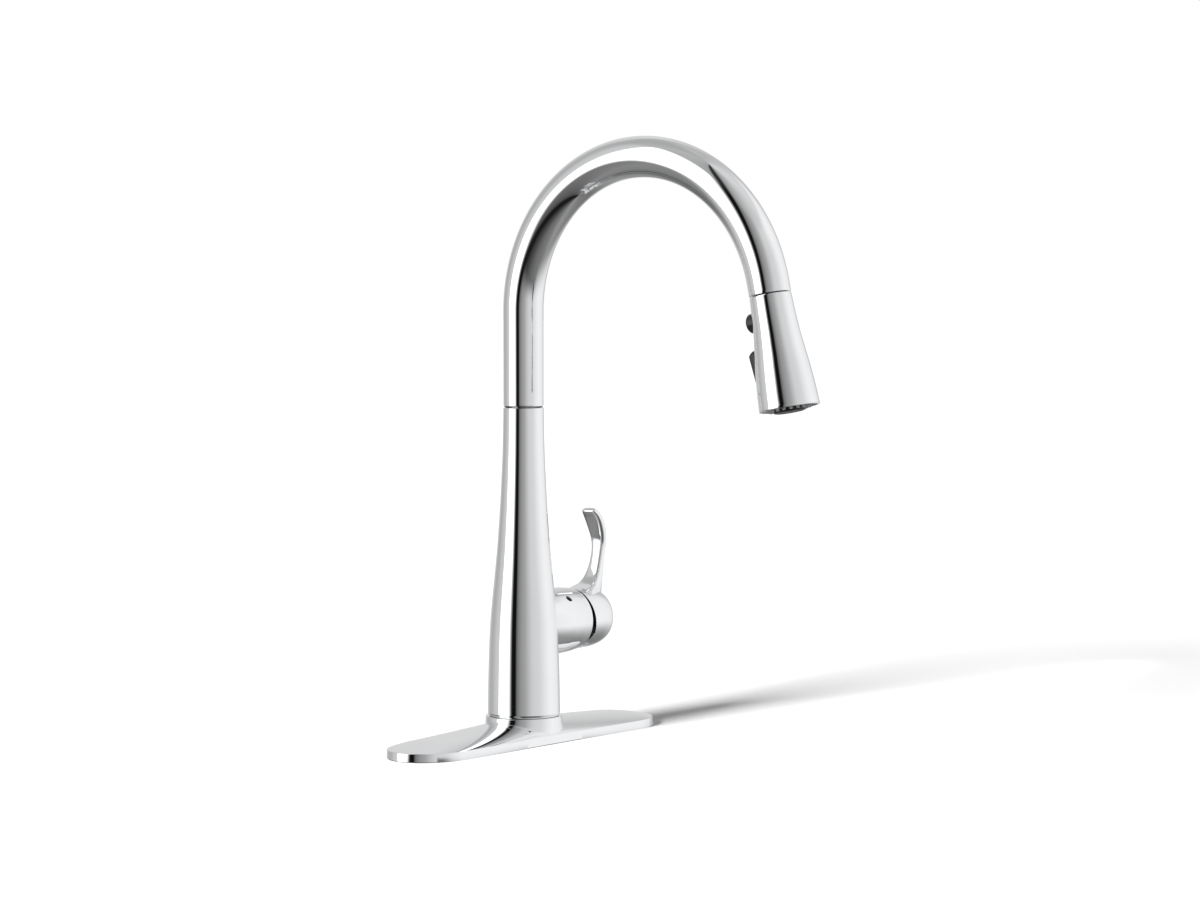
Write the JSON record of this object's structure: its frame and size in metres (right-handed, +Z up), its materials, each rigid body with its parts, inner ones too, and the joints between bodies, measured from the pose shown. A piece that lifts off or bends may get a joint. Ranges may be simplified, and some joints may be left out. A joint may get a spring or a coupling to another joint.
{
  "type": "pull down kitchen faucet",
  "caption": "Side-lever kitchen faucet with a high swivelling arc spout, a pull down spray head with push button and rocker, and a long crowned deck plate.",
  "frame": {"origin": "on the body's vertical axis, in the plane of the counter top on which the deck plate's gasket rests", "axes": "+Z up, the spout reaches towards -Y over the sink, the lever is on the +X side, and the deck plate is long along X"},
  "size_m": [0.262, 0.2796, 0.5275],
  "materials": {
    "chrome": "bright chrome plate over a casting or tube",
    "brass": "bare machined brass",
    "steel": "plain stainless steel",
    "ceramic": "lapped alumina",
    "black_plastic": "smooth black",
    "grey_plastic": "moulded grey",
    "white_plastic": "moulded natural white",
    "rubber": "black elastomer",
    "grey_rubber": "soft grey silicone",
    "braid": "grey braided nylon over a flexible tube"
  },
  "bodies": {
    "base": {"deck_plate": "chrome", "deck_gasket": "rubber", "base_o_ring": "rubber", "body_shell": "chrome", "swivel_washer": "black_plastic", "glide_ring_lower": "white_plastic", "glide_ring_upper": "white_plastic", "shank": "brass", "clamp_rubber_washer": "rubber", "clamp_steel_washer": "steel", "mounting_nut": "brass", "clamp_screw_left": "steel", "clamp_screw_right": "steel", "valve_manifold": "brass", "cold_inlet_nipple": "brass", "mixed_outlet_nipple": "brass", "hot_inlet_nipple": "brass", "cartridge_housing": "grey_plastic", "ceramic_disc_fixed": "ceramic", "cartridge_nut": "brass", "cartridge_lock_screw": "steel"},
    "turret": {"cartridge_turret": "white_plastic", "ceramic_disc_moving": "ceramic", "stem_pin": "steel"},
    "handle": {"cartridge_stem": "brass", "handle_lever": "chrome", "handle_set_screw": "steel", "set_screw_plug": "grey_plastic"},
    "spout": {"spout_neck": "chrome", "neck_retaining_clip": "steel", "dock_collar": "black_plastic", "spray_hose": "braid", "hose_coupling": "brass"},
    "hose_end": {"hose_tail": "braid", "hose_ferrule": "steel"},
    "spray_head": {"hose_washer": "rubber", "head_shell": "chrome", "head_core": "white_plastic", "check_valve": "grey_plastic", "spray_diverter": "grey_plastic", "nozzle_mat": "grey_rubber", "face_plate": "black_plastic", "aerator": "grey_plastic", "toggle_pin": "steel", "button_spring": "steel"},
    "toggle": {"spray_toggle": "black_plastic"},
    "button": {"boost_button": "black_plastic"}
  },
  "joints": [
    {"name": "spout_swivel", "type": "hinge", "parent": "base", "child": "spout", "pos_m": [0, 0, 0.235], "axis": [0, 0, 1], "continuous": true},
    {"name": "spray_pull", "type": "slide", "parent": "spout", "child": "hose_end", "axis": [0, -0.2113, -0.9774], "range_m": [0, 0.18]},
    {"name": "head_spin", "type": "hinge", "parent": "hose_end", "child": "spray_head", "pos_m": [0, -0.21286, 0.31513], "axis": [0, -0.2113, -0.9774], "continuous": true},
    {"name": "boost_button_press", "type": "slide", "parent": "spray_head", "child": "button", "axis": [0, -0.9774, 0.2113], "range_m": [0, 0.0013], "stiffness_N_per_m": 500, "springref_m": -0.002},
    {"name": "spray_toggle_rock", "type": "hinge", "parent": "spray_head", "child": "toggle", "pos_m": [0, -0.21076, 0.2671], "axis": [1, 0, 0], "range_deg": [0, 10]},
    {"name": "handle_temperature", "type": "hinge", "parent": "base", "child": "turret", "pos_m": [0.038, 0, 0.0816], "axis": [1, 0, 0], "range_deg": [-45, 45]},
    {"name": "handle_flow", "type": "hinge", "parent": "turret", "child": "handle", "pos_m": [0.038, 0, 0.0816], "axis": [0, 1, 0], "range_deg": [0, 20]}
  ]
}
